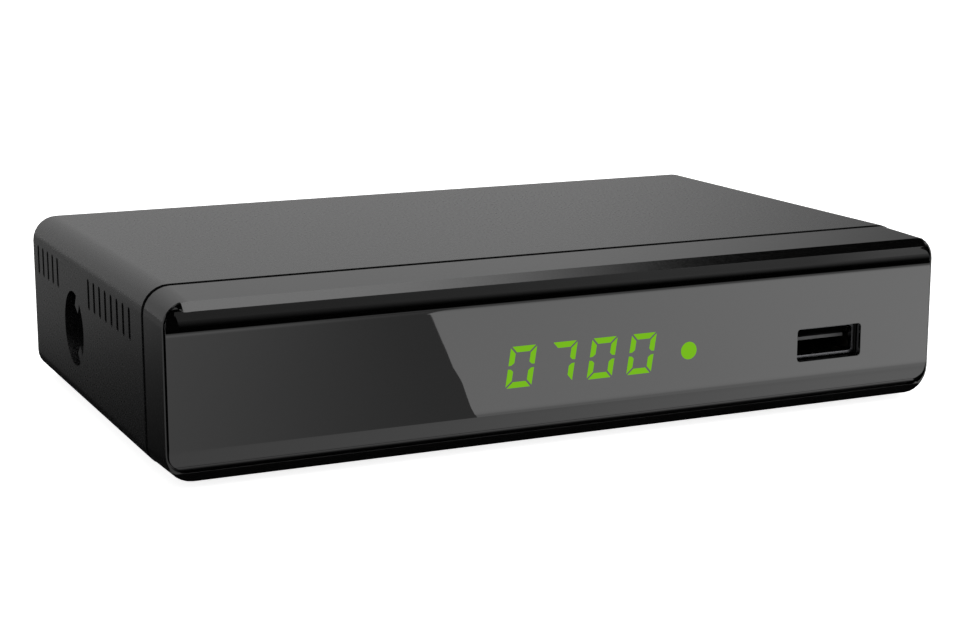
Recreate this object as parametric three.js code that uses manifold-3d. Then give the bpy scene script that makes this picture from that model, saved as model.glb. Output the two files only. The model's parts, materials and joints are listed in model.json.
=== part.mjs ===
// Terrestrial tv receiver: a small set-top box with a moulded housing, a chamfered visor over a glossy
// front window, and a rear panel of sockets. Millimetres, +Z up, front towards -Y, +X to the right of
// the front. The origin is on the surface that the feet stand on, under the middle of the footprint.
// Inside the group, y = 0 is the middle of the seam behind the bezel and z = 0 is the underside of the housing.

import * as THREE from 'three';
import Module from 'manifold-3d';
import { mergeVertices } from 'three/addons/utils/BufferGeometryUtils.js';

const wasm = await Module();
wasm.setup();

// Housing
const bodyWidth = 150;
const bodyHeight = 30.55;
const housingDepth = 79.4;
const topCornerRadius = 4.7;
const bottomCornerRadius = 3.7;
const rearEdgeRadius = 0.8;
const wall = 2;
const floorFlange = 1.3;
const seam = 0.8;
const seamStep = 0.15;

// Clearances
const fitGap = 0.3;
const slipGap = 0.15;
const overrun = 1;

// Side vents
const ventPitch = 3.91;
const ventWidth = 1.3;
const ventHeight = 5.75;
const ventDrop = 4.9;
const firstVent = 7.9;
const lastVentMargin = 4.9;
const ventInletMargin = 3;

// Power inlet in the left side
const inletRadius = 7;
const inletFromRear = 32.2;
const inletY = housingDepth - inletFromRear;
const inletDrop = 0.975;
const inletHeight = bodyHeight / 2 - inletDrop;
const inletCollarWall = 1.2;
const inletCollarDepth = 2.7;
const inletKeyWidth = 2.4;
const inletKeyDepth = 2.4;
const inletKeyAngles = [120, 227];

// Closing screws, their columns under the roof and their pads on the base
const columnFromSide = 13;
const columnX = bodyWidth / 2 - columnFromSide;
const columnFrontY = 9;
const columnFromRear = 21.4;
const columnRearY = housingDepth - columnFromRear;
const columnRadius = 3.2;
const screwHoleRadius = 1.5;
const screwHoleDepth = 13;
const screwShankRadius = 1.2;
const screwShankLength = 11;
const screwHeadRadius = 2.7;
const screwHeadHeight = 1.6;
const screwClearRadius = 1.6;
const screwPadRadius = 4.5;
const screwPadHeight = 1.6;
const screwSinkDepth = 2;
const screwSinkRadius = 3.2;
const driveSlotWidth = 0.8;
const driveSlotDepth = 0.7;
const driveSlotShare = 0.6;
const screwCrownShare = 0.7;

// Base plate, its feet and its vents
const footRadius = 5.2;
const footHeight = 1.5;
const footRecess = 0.6;
const footEdge = 0.5;
const footFromSide = 15;
const footX = bodyWidth / 2 - footFromSide;
const footFrontY = 20;
const footFromRear = 10.4;
const footRearY = housingDepth - footFromRear;
const baseVentWidth = 2;
const baseVentPitch = 5;
const baseVentCount = 7;
const baseVentFieldShare = 0.2;
const baseVentFieldX = bodyWidth * baseVentFieldShare;
const baseVentMargin = 10;

// Bezel and visor
const rimDepth = 11;
const visorReach = 12;
const topFall = 0.65;
const visorChamfer = 1.4;
const visorEndInset = 3.2;
const visorHalfWidth = bodyWidth / 2 - visorEndInset;
const visorDepth = 2.1;
const visorUnderside = bodyHeight - visorDepth;
const lipEdgeRadius = 0.5;
const frontFootCornerRadius = 4.6;
const lipDrop = 0.15;
const rimWall = 0.25;
const webThickness = 1.8;
const bezelWall = 2;
const shoulder = 2;
const spigotWall = 1.5;
const spigotLength = 4;

// Front window
const windowProud = 0.4;
const windowThickness = 1.9;
const windowEndInset = 0.65;
const windowHalfWidth = bodyWidth / 2 - windowEndInset;
const windowLow = 1.75;
const windowTopGap = 0.2;
const windowHigh = visorUnderside - windowTopGap;
const windowHeight = windowHigh - windowLow;
const windowHeadRadius = 2.6;
const windowFootRadius = 2.8;
const browHeight = 4.3;
const browRadius = 6.5;
const chinHeight = 3.96;
const chinSetback = 1.1;
const windowSectionOverrun = 0.2;

// USB socket on the front
const usbFromSide = 23;
const usbX = bodyWidth / 2 - usbFromSide;
const usbHeightShare = 0.3679;
const usbHeight = windowLow + windowHeight * usbHeightShare;
const usbSlotWidth = 14;
const usbSlotHeight = 6.1;
const usbSlotRadius = 0.6;
const usbShellWidth = 13.1;
const usbShellHeight = 5.7;
const usbShellLength = 14;
const usbShellWall = 0.3;
const usbSetback = 2.8;
const usbTongueWidth = 11;
const usbTongueThickness = 1.84;
const usbTongueLift = 0.6;
const usbTongueSetback = 1;
const usbBlockLength = 3;
const usbBlockInset = 0.9;

// Boards
const boardThickness = 1.6;
const seatGap = 0.2;
const boardFromSide = 9;
const boardHalfWidth = bodyWidth / 2 - boardFromSide;
const boardFrontY = -3;
const boardFromRear = 5.4;
const boardRearY = housingDepth - boardFromRear;
const boardNotchHalf = 4;
const boardNotchDepth = 7.7;
const boardMountFromColumn = 22;
const boardMountFrontX = columnX - boardMountFromColumn;
const boardMountFromTuner = 6.5;
const boardMountFrontY = 12;
const boardMountFromRear = 23.4;
const boardMountRearY = housingDepth - boardMountFromRear;
const boardBossRadius = 3;
const boardHoleRadius = 1.5;
const boardScrewHeadRadius = 2.5;
const boardScrewHeadHeight = 1.5;
const boardScrewRadius = 0.9;
const boardScrewLength = 5;
const boardBossHoleRadius = 1.2;
const boardBossHoleDepth = 5;
const frontBoardLeftMargin = 6.3;
const frontBoardRightMargin = 8;
const frontBoardLowReach = 8.45;
const frontBoardHighReach = 9.55;
const frontBoardFrontY = -5.8;

// Display, status light and remote receiver behind the window
const displayHeightShare = 0.4132;
const displayHeight = windowLow + windowHeight * displayHeightShare;
const displayWidth = 34;
const displayFromUsb = 33.7;
const displayX = usbX - displayFromUsb - displayWidth / 2;
const displayTall = 14.4;
const displayGap = 0.3;
const digitCount = 4;
const digitPitch = 7.87;
const digitWidth = 5.2;
const digitTall = 7.8;
const digitSlant = 0.1;
const segmentWidth = 0.95;
const segmentGap = 0.35;
const segmentRise = 0.12;
const lightFromDisplay = 4.6;
const lightX = displayX + displayWidth / 2 + lightFromDisplay;
const lightDrop = 0.3;
const lightHeight = displayHeight - lightDrop;
const lightRadius = 1.7;
const lightFlangeRadius = 2.2;
const lightFlangeThickness = 1;
const irFromLight = 11.1;
const irX = lightX + irFromLight;
const irDrop = 0.15;
const irHeight = displayHeight - irDrop;
const irWidth = 6;
const irTall = 6.8;
const irBlockDepth = 1.8;
const irDomeRadius = 1.5;
const headerWidth = 18;
const headerDepth = 2.5;
const headerTall = 2.5;
const webWindowGap = 0.3;

// Rear panel
const panelThickness = 2;
const panelRecess = 0.8;
const panelRibHeight = 1.6;
const panelRibWidth = 1.5;
const panelRibFromSide = 15;
const panelRibHalfLength = bodyWidth / 2 - panelRibFromSide;
const socketGap = 0.3;

// Tuner and its two coaxial aerial sockets
const tunerFromColumn = 1.3;
const tunerRight = columnX - columnRadius - tunerFromColumn;
const tunerWidth = 31;
const tunerLeft = tunerRight - tunerWidth;
const tunerDepth = 28;
const tunerHeight = 14;
const tunerWall = 0.6;
const tunerLidThickness = 0.5;
const aerialRise = 7.2;
const aerialProtrusion = 9.5;
const aerialInFromSide = 7.5;
const aerialInX = tunerRight - aerialInFromSide;
const aerialInRadius = 5.6;
const aerialInBore = 4.8;
const aerialContactRadius = 1.9;
const aerialContactBore = 1.2;
const aerialContactSetback = 1.5;
const aerialSpacing = 16;
const aerialOutX = aerialInX - aerialSpacing;
const aerialOutRadius = 4.75;
const aerialOutBore = 4.05;
const aerialPinRadius = 1.2;
const aerialPinSetback = 0.8;
const socketBaseThickness = 1.2;
const insulatorThickness = 3;

// HDMI socket
const hdmiWidth = 15;
const hdmiTall = 5.6;
const hdmiFootWidth = 11;
const hdmiFootRise = 1.6;
const hdmiLength = 11.5;
const hdmiWall = 0.4;
const hdmiProtrusion = 0.5;
const hdmiTongueWidth = 11.2;
const hdmiTongueThickness = 1.2;
const hdmiTongueSetback = 1;
const hdmiBlockLength = 2.5;

// Coaxial digital audio socket
const coaxBodyWidth = 10.4;
const coaxBodyTall = 11.6;
const coaxBodyDepth = 9;
const coaxRadius = 4.15;
const coaxBore = 3.3;
const coaxProtrusion = 9;
const coaxPinBore = 1.6;
const coaxInsulatorSetback = 0.6;

// SCART socket
const scartWidth = 47;
const scartTall = 14.8;
const scartCornerCut = 4;
const scartDepth = 15;
const scartWall = 1.4;
const scartProtrusion = 0.8;
const scartInsertMargin = 1.7;
const scartInsertSetback = 1;
const scartContactPitch = 3.81;
const scartContactCount = 10;
const scartContactWidth = 1;
const scartContactTall = 3;
const scartContactDepth = 6;
const scartRowSpacing = 5;
const scartRowShift = 0.95;

// Places of the SCART, coaxial and HDMI sockets, which share the room to the left of the tuner
const scartRoomShare = 0.34;
const coaxRoomShare = 0.27;
const hdmiRoomShare = 0.14;
const panelHalfWidth = bodyWidth / 2 - wall - fitGap;
const socketRoom = tunerLeft + panelHalfWidth - scartWidth - coaxBodyWidth - hdmiWidth;
const scartX = socketRoom * scartRoomShare + scartWidth / 2 - panelHalfWidth;
const coaxX = scartX + (scartWidth + coaxBodyWidth) / 2 + socketRoom * coaxRoomShare;
const hdmiX = coaxX + (coaxBodyWidth + hdmiWidth) / 2 + socketRoom * hdmiRoomShare;

// DC jack behind the inlet
const jackWidth = 9;
const jackHeight = 11.2;
const jackLength = 13.5;
const jackBore = 3.1;
const jackBoreDepth = 9.5;
const jackPinRadius = 1.05;
const jackPinLength = 8;

// Parts on the main board
const chipX = 5;
const chipFromMount = 20;
const chipY = boardMountRearY - chipFromMount;
const chipSize = 16;
const chipHeight = 1.3;
const sinkSize = 26;
const sinkBase = 1.8;
const sinkFinHeight = 7;
const sinkFinThickness = 1.3;
const sinkFinCount = 6;
const memoryX = -18;
const memoryWidth = 8;
const memoryLength = 13;
const memoryHeight = 1.4;
const crystalX = 24;
const crystalLength = 11;
const crystalWidth = 4.6;
const crystalHeight = 3.6;
const chokeFromEdge = 20;
const chokeX = chokeFromEdge - boardHalfWidth;
const chokeFromMount = 10;
const chokeY = boardMountFrontY + chokeFromMount;
const chokeSize = 9;
const chokeHeight = 4.5;
const chokeRim = 1.2;
const chokeWellShare = 0.6;
const chokeCoreLowShare = 0.5;
const chokeCoreHighShare = 0.9;
const capacitorFromEdge = 16;
const capacitorX = capacitorFromEdge - boardHalfWidth;
const capacitorFromChoke = 12;
const capacitorY = chokeY + capacitorFromChoke;
const capacitorSpacing = 10.5;
const capacitorRadius = 4;
const capacitorHeight = 12;
const capacitorBead = 0.5;
const capacitorBaseHeight = 1;

// Facets
const cornerSteps = 7;
const edgeSteps = 4;
const slotSteps = 2;
const roundSteps = 24;
const boreSteps = 36;
const smallSteps = 14;
const pillEndShare = 0.8;
const insetCornerShare = 0.8;

const finish = (color, roughness, metalness = 0) =>
  new THREE.MeshStandardMaterial({ color, roughness, metalness, flatShading: true });

const materials = {
  housing: finish(0x181819, 0.6),
  bezel: finish(0x171718, 0.5),
  window: finish(0x131314, 0.08),
  panel: finish(0x1b1b1c, 0.6),
  rubber: finish(0x161616, 0.85),
  steel: finish(0x9a9a98, 0.35, 0.9),
  nickel: finish(0xb4b2ab, 0.25, 0.95),
  gold: finish(0xb89447, 0.3, 0.9),
  socket: finish(0x141415, 0.5),
  board: finish(0x1f5a33, 0.55),
  chip: finish(0x202022, 0.5),
  sink: finish(0x8d9093, 0.4, 0.85),
  display: finish(0x26282a, 0.4),
  light: finish(0x6db01c, 0.3),
  infrared: finish(0x120d12, 0.15),
  orange: finish(0xc8641c, 0.5),
  insulator: finish(0xd8d6cc, 0.5),
  can: finish(0xa9a9a5, 0.4, 0.85),
  sleeve: finish(0x23262b, 0.45),
};

// Closed bodies that can be joined and cut.
function solidOf(geometry) {
  const bare = new THREE.BufferGeometry();
  bare.setAttribute('position', geometry.getAttribute('position').clone());
  if (geometry.index) bare.setIndex(geometry.index.clone());
  const merged = mergeVertices(bare);
  const corners = merged.index.array;
  const triangles = [];
  for (let i = 0; i < corners.length; i += 3) {
    const [a, b, c] = [corners[i], corners[i + 1], corners[i + 2]];
    if (a !== b && b !== c && c !== a) triangles.push(a, b, c);
  }
  return new wasm.Manifold(new wasm.Mesh({
    numProp: 3,
    vertProperties: Float32Array.from(merged.getAttribute('position').array),
    triVerts: Uint32Array.from(triangles),
  }));
}

function geometryOf(solid) {
  const { numProp, vertProperties, triVerts } = solid.getMesh();
  const positions = [];
  for (let i = 0; i < vertProperties.length; i += numProp) {
    positions.push(vertProperties[i], vertProperties[i + 1], vertProperties[i + 2]);
  }
  const geometry = new THREE.BufferGeometry();
  geometry.setAttribute('position', new THREE.Float32BufferAttribute(positions, 3));
  geometry.setIndex(Array.from(triVerts));
  geometry.computeVertexNormals();
  return geometry;
}

const join = (first, ...rest) => rest.reduce((solid, other) => solid.add(other), first);
const cut = (first, ...rest) => rest.reduce((solid, other) => solid.subtract(other), first);

const X = new THREE.Vector3(1, 0, 0);
const Y = new THREE.Vector3(0, 1, 0);
const Z = new THREE.Vector3(0, 0, 1);

function box([x0, x1], [y0, y1], [z0, z1]) {
  const geometry = new THREE.BoxGeometry(x1 - x0, y1 - y0, z1 - z0);
  return solidOf(geometry.translate((x0 + x1) / 2, (y0 + y1) / 2, (z0 + z1) / 2));
}

// An outline extruded along X is drawn in (y, z), along Y in (x, z) and along Z in (x, y).
function extrude(axis, points, from, to) {
  const depth = to - from;
  const shape = new THREE.Shape(points);
  const geometry = new THREE.ExtrudeGeometry(shape, { depth, bevelEnabled: false });
  if (axis === 'x') geometry.applyMatrix4(new THREE.Matrix4().makeBasis(Y, Z, X)).translate(from, 0, 0);
  if (axis === 'y') {
    geometry.applyMatrix4(new THREE.Matrix4().makeBasis(X, Z, Y.clone().negate())).translate(0, to, 0);
  }
  if (axis === 'z') geometry.translate(0, 0, from);
  return solidOf(geometry);
}

// A cylinder from one place to another along an axis, centred at the two other coordinates.
function rod(axis, radius, from, to, [u, v], steps = roundSteps) {
  const geometry = new THREE.CylinderGeometry(radius, radius, to - from, steps);
  const middle = (from + to) / 2;
  if (axis === 'x') geometry.rotateZ(Math.PI / 2).translate(middle, u, v);
  if (axis === 'y') geometry.translate(u, middle, v);
  if (axis === 'z') geometry.rotateX(Math.PI / 2).translate(u, v, middle);
  return solidOf(geometry);
}

// A profile of [radius, height] pairs turned about Z, or about Y for the sockets on the rear.
function turn(profile, axis = 'z', steps = roundSteps) {
  const geometry = new THREE.LatheGeometry(profile.map(([r, h]) => new THREE.Vector2(r, h)), steps);
  if (axis === 'z') geometry.rotateX(Math.PI / 2);
  return solidOf(geometry);
}

// Counter-clockwise outline with one corner radius at the foot and one at the head.
function outlinePoints({ left, right, low, high, footCorner, headCorner }, steps = cornerSteps) {
  const corners = [
    [right - footCorner, low + footCorner, footCorner, -Math.PI / 2],
    [right - headCorner, high - headCorner, headCorner, 0],
    [left + headCorner, high - headCorner, headCorner, Math.PI / 2],
    [left + footCorner, low + footCorner, footCorner, Math.PI],
  ];
  return corners.flatMap(([u, v, radius, start]) => Array.from({ length: steps + 1 }, (_, i) => {
    const angle = start + (i / steps) * (Math.PI / 2);
    return new THREE.Vector2(u + radius * Math.cos(angle), v + radius * Math.sin(angle));
  }));
}

const centred = (u, v, width, height, corner) => ({
  left: u - width / 2,
  right: u + width / 2,
  low: v - height / 2,
  high: v + height / 2,
  footCorner: corner,
  headCorner: corner,
});

const inset = (outline, by) => ({
  left: outline.left + by,
  right: outline.right - by,
  low: outline.low + by,
  high: outline.high - by,
  footCorner: outline.footCorner - Math.min(by, outline.footCorner * insetCornerShare),
  headCorner: outline.headCorner - Math.min(by, outline.headCorner * insetCornerShare),
});

// A closed body through outlines that stand at given places along Y, from the front to the back.
function loft(stations) {
  const rings = stations.map(([y, outline]) => outlinePoints(outline).map((p) => [p.x, y, p.y]));
  const count = rings[0].length;
  const last = (rings.length - 1) * count;
  const index = [];
  for (let ring = 0; ring < rings.length - 1; ring += 1) {
    for (let i = 0; i < count; i += 1) {
      const a = ring * count + i;
      const b = ring * count + ((i + 1) % count);
      index.push(a, a + count, b, b, a + count, b + count);
    }
  }
  for (let i = 1; i < count - 1; i += 1) {
    index.push(0, i, i + 1, last, last + i + 1, last + i);
  }
  const geometry = new THREE.BufferGeometry();
  geometry.setAttribute('position', new THREE.Float32BufferAttribute(rings.flat(2), 3));
  geometry.setIndex(index);
  return solidOf(geometry);
}

const housingOutline = {
  left: -bodyWidth / 2,
  right: bodyWidth / 2,
  low: 0,
  high: bodyHeight,
  footCorner: bottomCornerRadius,
  headCorner: topCornerRadius,
};
const floorHalfWidth = bodyWidth / 2 - bottomCornerRadius - floorFlange;
const roof = bodyHeight - wall;
const panelRearY = housingDepth - panelRecess;
const panelFrontY = panelRearY - panelThickness;
const boardTop = usbHeight - usbShellHeight / 2 - seatGap;
const boardBottom = boardTop - boardThickness;
const aerialHeight = boardTop + aerialRise;
const coaxHeight = aerialHeight;
const boardMountRearX = tunerLeft - boardMountFromTuner;
const columns = [
  ['front_left', -columnX, columnFrontY],
  ['front_right', columnX, columnFrontY],
  ['rear_left', -columnX, columnRearY],
  ['rear_right', columnX, columnRearY],
];
const boardMounts = [
  ['front_left', -boardMountFrontX, boardMountFrontY],
  ['front_right', boardMountFrontX, boardMountFrontY],
  ['rear_left', -boardMountRearX, boardMountRearY],
  ['rear_right', boardMountRearX, boardMountRearY],
];

// The housing sleeve: roof, both sides and the turned-in bottom corners in one moulding.
function ventPlaces() {
  const count = Math.floor((housingDepth - firstVent - lastVentMargin) / ventPitch) + 1;
  return Array.from({ length: count }, (_, i) => firstVent + i * ventPitch);
}

function ventCut(side, y) {
  const middle = bodyHeight - ventDrop - ventHeight / 2;
  const outline = centred(y, middle, ventWidth, ventHeight, (ventWidth / 2) * pillEndShare);
  const edge = side * (bodyWidth / 2);
  const [from, to] = [edge - wall - overrun, edge + wall + overrun];
  return extrude('x', outlinePoints(outline, slotSteps), from, to);
}

function inletCut() {
  const outside = -bodyWidth / 2;
  const place = [inletY, inletHeight];
  const depth = wall + inletCollarDepth + overrun;
  const hole = rod('x', inletRadius, outside - overrun, outside + depth, place, boreSteps);
  const keys = inletKeyAngles.map((degrees) => {
    const key = new THREE.BoxGeometry(wall + overrun, inletKeyDepth + overrun, inletKeyWidth);
    key.translate(0, inletRadius - inletKeyDepth + (inletKeyDepth + overrun) / 2, 0);
    key.rotateX(THREE.MathUtils.degToRad(degrees));
    return solidOf(key.translate(outside + (wall + overrun) / 2, ...place));
  });
  return cut(hole, ...keys);
}

function buildHousing() {
  const edge = Array.from({ length: edgeSteps + 1 }, (_, i) => {
    const angle = (i / edgeSteps) * (Math.PI / 2);
    const y = housingDepth - rearEdgeRadius * (1 - Math.sin(angle));
    return [y, inset(housingOutline, rearEdgeRadius * (1 - Math.cos(angle)))];
  });
  const outer = loft([[seam / 2, housingOutline], ...edge]);
  const cavity = inset(housingOutline, wall);
  const inner = loft([[-overrun, cavity], [housingDepth + overrun, cavity]]);
  const length = [-overrun, housingDepth + overrun];
  const floor = box([-floorHalfWidth, floorHalfWidth], length, [-overrun, wall + overrun]);
  const rib = box(
    [-panelRibHalfLength, panelRibHalfLength],
    [panelFrontY - fitGap - panelRibWidth, panelFrontY - fitGap],
    [roof - panelRibHeight, roof + wall / 2],
  );
  const collar = rod('x', inletRadius + inletCollarWall, -bodyWidth / 2 + wall / 2,
    -bodyWidth / 2 + wall + inletCollarDepth, [inletY, inletHeight], boreSteps);
  const columnFoot = wall + screwPadHeight + fitGap;
  const posts = columns.map(([, x, y]) => rod('z', columnRadius, columnFoot, roof + wall / 2, [x, y]));
  const holes = columns.map(([, x, y]) =>
    rod('z', screwHoleRadius, columnFoot - overrun, columnFoot + screwHoleDepth, [x, y], smallSteps));
  const inletReach = inletRadius + ventInletMargin;
  const vents = ventPlaces().flatMap((y) => {
    const right = ventCut(1, y);
    return Math.abs(y - inletY) < inletReach ? [right] : [right, ventCut(-1, y)];
  });
  const shell = join(cut(outer, inner, floor), rib, collar, ...posts);
  return cut(shell, inletCut(), ...holes, ...vents);
}

const feet = [
  ['front_left', -footX, footFrontY],
  ['front_right', footX, footFrontY],
  ['rear_left', -footX, footRearY],
  ['rear_right', footX, footRearY],
];

// The base plate, let in between the housing's bottom flanges.
function buildBase() {
  const half = floorHalfWidth - fitGap;
  const plate = box([-half, half], [seam / 2, panelRearY], [0, wall]);
  const pads = columns.map(([, x, y]) =>
    rod('z', screwPadRadius, wall / 2, wall + screwPadHeight, [x, y]));
  const bosses = boardMounts.map(([, x, y]) => rod('z', boardBossRadius, wall / 2, boardBottom, [x, y]));
  const bossHole = [boardBottom - boardBossHoleDepth, boardBottom + overrun];
  const bossHoles = boardMounts.map(([, x, y]) =>
    rod('z', boardBossHoleRadius, ...bossHole, [x, y], smallSteps));
  const screwHoles = columns.flatMap(([, x, y]) => [
    rod('z', screwClearRadius, -overrun, wall + screwPadHeight + overrun, [x, y], smallSteps),
    rod('z', screwSinkRadius, -overrun, screwSinkDepth, [x, y]),
  ]);
  const recesses = feet.map(([, x, y]) => rod('z', footRadius + slipGap, -overrun, footRecess, [x, y]));
  const ventFrom = boardMountFrontY + baseVentMargin;
  const ventTo = boardMountRearY - baseVentMargin;
  const vents = [-1, 1].flatMap((side) => Array.from({ length: baseVentCount }, (_, i) => {
    const x = side * baseVentFieldX + (i - (baseVentCount - 1) / 2) * baseVentPitch;
    const corner = (baseVentWidth / 2) * pillEndShare;
    const outline = centred(x, (ventFrom + ventTo) / 2, baseVentWidth, ventTo - ventFrom, corner);
    return extrude('z', outlinePoints(outline, slotSteps), -overrun, wall + overrun);
  }));
  return cut(join(plate, ...pads, ...bosses), ...bossHoles, ...screwHoles, ...recesses, ...vents);
}

// A rubber foot, from the recess in the base plate down to the surface it stands on.
function buildFoot() {
  return turn([
    [0, -footHeight],
    [footRadius - footEdge, -footHeight],
    [footRadius, footEdge - footHeight],
    [footRadius, footRecess],
    [0, footRecess],
  ]);
}

// A pan-head screw whose head is at the bottom, with its seat at z = 0 and a slot for the driver.
function buildScrew(headRadius, headHeight, shankRadius, shankLength) {
  const body = turn([
    [0, -headHeight],
    [headRadius * screwCrownShare, -headHeight],
    [headRadius, -headHeight / 2],
    [headRadius, 0],
    [shankRadius, 0],
    [shankRadius, shankLength - shankRadius],
    [0, shankLength],
  ], 'z', smallSteps);
  const half = driveSlotWidth / 2;
  const floor = [-headHeight - overrun, driveSlotDepth - headHeight];
  const long = [-headRadius * driveSlotShare, headRadius * driveSlotShare];
  return cut(body, box(long, [-half, half], floor), box([-half, half], long, floor));
}

// The bezel is a little smaller than the housing at the seam. From there it falls gently to the visor,
// and its bottom corners widen towards the lip under the window, which hangs a little lower.
const topAt = (y) => bodyHeight - seamStep + ((topFall - seamStep) * y) / visorReach;

function bezelOutline(y, low) {
  const high = topAt(y);
  const share = Math.min(1, -y / rimDepth);
  return {
    left: seamStep - bodyWidth / 2,
    right: bodyWidth / 2 - seamStep,
    low: low - lipDrop * share,
    high,
    footCorner: bottomCornerRadius + (frontFootCornerRadius - bottomCornerRadius) * share,
    headCorner: topCornerRadius - (bodyHeight - high) / 2,
  };
}

const windowFront = -(rimDepth + windowProud);
const windowRear = windowFront + windowThickness;
const webRear = windowRear + webThickness;

function bezelStations() {
  const rounding = Array.from({ length: edgeSteps + 1 }, (_, i) => {
    const angle = (i / edgeSteps) * (Math.PI / 2);
    const y = -(rimDepth - lipEdgeRadius * (1 - Math.sin(angle)));
    return [y, bezelOutline(y, lipEdgeRadius * (1 - Math.cos(angle)))];
  });
  const nose = -(visorReach + visorChamfer);
  return [
    [nose, { ...bezelOutline(nose, lipEdgeRadius), high: topAt(-visorReach) - visorChamfer }],
    [-visorReach, bezelOutline(-visorReach, lipEdgeRadius)],
    ...rounding.reverse(),
    [-seam / 2, bezelOutline(-seam / 2, 0)],
  ];
}

function buildBezel() {
  const body = loft(bezelStations());
  const nose = -(visorReach + visorChamfer + overrun);
  const across = [-bodyWidth / 2 - overrun, bodyWidth / 2 + overrun];
  const visor = box([-visorHalfWidth, visorHalfWidth], [nose, windowRear],
    [visorUnderside, bodyHeight + overrun]);
  const rim = bezelOutline(-rimDepth, windowLow - fitGap);
  const pocketOutline = {
    ...inset(rim, rimWall),
    low: windowLow - fitGap,
    footCorner: windowFootRadius + fitGap,
  };
  const pocket = extrude('y', outlinePoints(pocketOutline), nose, windowRear);
  const ahead = box(across, [nose, -rimDepth], [-overrun, bodyHeight + overrun]);
  const frontRoom = inset(bezelOutline(webRear, 0), bezelWall);
  const spigotOutline = inset(housingOutline, wall + fitGap);
  const mouth = inset(spigotOutline, spigotWall);
  const spigot = extrude('y', outlinePoints(spigotOutline), -shoulder, spigotLength);
  const roomy = extrude('y', outlinePoints(frontRoom), webRear, -shoulder);
  const narrow = extrude('y', outlinePoints(mouth), -shoulder - overrun, spigotLength + overrun);
  const frame = join(cut(body, cut(pocket, visor), cut(ahead, visor)), spigot);
  return cut(frame, roomy, narrow, ...webWindows());
}

function webWindows() {
  const through = [windowRear - overrun, webRear + overrun];
  const open = (x, z, width, height) => box(
    [x - width / 2 - webWindowGap, x + width / 2 + webWindowGap],
    through,
    [z - height / 2 - webWindowGap, z + height / 2 + webWindowGap],
  );
  return [
    open(displayX, displayHeight, displayWidth, displayTall),
    open(usbX, usbHeight, usbShellWidth, usbShellHeight),
    open(irX, irHeight, irDomeRadius * 2, irDomeRadius * 2),
    rod('y', lightRadius + webWindowGap, ...through, [lightX, lightHeight]),
  ];
}

// The glossy window: a flat face with a rounded brow above it and a chin that leans back below.
function buildWindow() {
  const outline = {
    left: -windowHalfWidth,
    right: windowHalfWidth,
    low: windowLow,
    high: windowHigh,
    footCorner: windowFootRadius,
    headCorner: windowHeadRadius,
  };
  const browAngle = Math.asin(browHeight / browRadius);
  const brow = Array.from({ length: cornerSteps + 1 }, (_, i) => {
    const angle = (i / cornerSteps) * browAngle;
    const y = windowFront + browRadius * (1 - Math.cos(angle));
    return new THREE.Vector2(y, windowHigh - browHeight + browRadius * Math.sin(angle));
  });
  const lean = (chinSetback / chinHeight) * (chinHeight + windowSectionOverrun);
  const section = [
    new THREE.Vector2(windowRear, windowHigh),
    ...brow.reverse(),
    new THREE.Vector2(windowFront, windowLow + chinHeight),
    new THREE.Vector2(windowFront + lean, windowLow - windowSectionOverrun),
    new THREE.Vector2(windowRear, windowLow - windowSectionOverrun),
  ];
  const plate = extrude('y', outlinePoints(outline), windowFront - overrun, windowRear + overrun);
  const bar = extrude('x', section, -windowHalfWidth - overrun, windowHalfWidth + overrun);
  const slot = centred(usbX, usbHeight, usbSlotWidth, usbSlotHeight, usbSlotRadius);
  const usb = extrude('y', outlinePoints(slot, slotSteps), windowFront - overrun, windowRear + overrun);
  return cut(plate.intersect(bar), usb);
}

// The rear panel, dropped in behind the rib under the roof, with one cut-out for each socket.
function buildPanel() {
  const outline = inset(housingOutline, wall + fitGap);
  const plate = extrude('y', outlinePoints(outline), panelFrontY, panelRearY);
  const through = [panelFrontY - overrun, panelRearY + overrun];
  return cut(
    plate,
    rod('y', aerialInRadius + socketGap, ...through, [aerialInX, aerialHeight], boreSteps),
    rod('y', aerialOutRadius + socketGap, ...through, [aerialOutX, aerialHeight], boreSteps),
    rod('y', coaxRadius + socketGap, ...through, [coaxX, coaxHeight], boreSteps),
    extrude('y', hdmiOutline(-socketGap), ...through),
    extrude('y', scartOutline(-socketGap), ...through),
  );
}

// Boards
function buildMainBoard() {
  const level = [boardBottom, boardTop];
  const board = box([-boardHalfWidth, boardHalfWidth], [boardFrontY, boardRearY], level);
  const tall = [boardBottom - overrun, boardTop + overrun];
  const notches = columns.map(([, x, y]) => {
    const side = Math.sign(x);
    const edge = side * (boardHalfWidth + overrun);
    const inner = side * (boardHalfWidth - boardNotchDepth);
    const along = [y - boardNotchHalf, y + boardNotchHalf];
    return box([Math.min(edge, inner), Math.max(edge, inner)], along, tall);
  });
  const holes = boardMounts.map(([, x, y]) => rod('z', boardHoleRadius, ...tall, [x, y], smallSteps));
  return cut(board, ...notches, ...holes);
}

const frontBoardRearY = frontBoardFrontY + boardThickness;

function buildFrontBoard() {
  const across = [displayX - displayWidth / 2 - frontBoardLeftMargin, irX + frontBoardRightMargin];
  const upright = [displayHeight - frontBoardLowReach, displayHeight + frontBoardHighReach];
  return box(across, [frontBoardFrontY, frontBoardRearY], upright);
}

function buildHeader() {
  const across = [displayX - headerWidth / 2, displayX + headerWidth / 2];
  return box(across, [frontBoardRearY, frontBoardRearY + headerDepth], [boardTop, boardTop + headerTall]);
}

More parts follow.
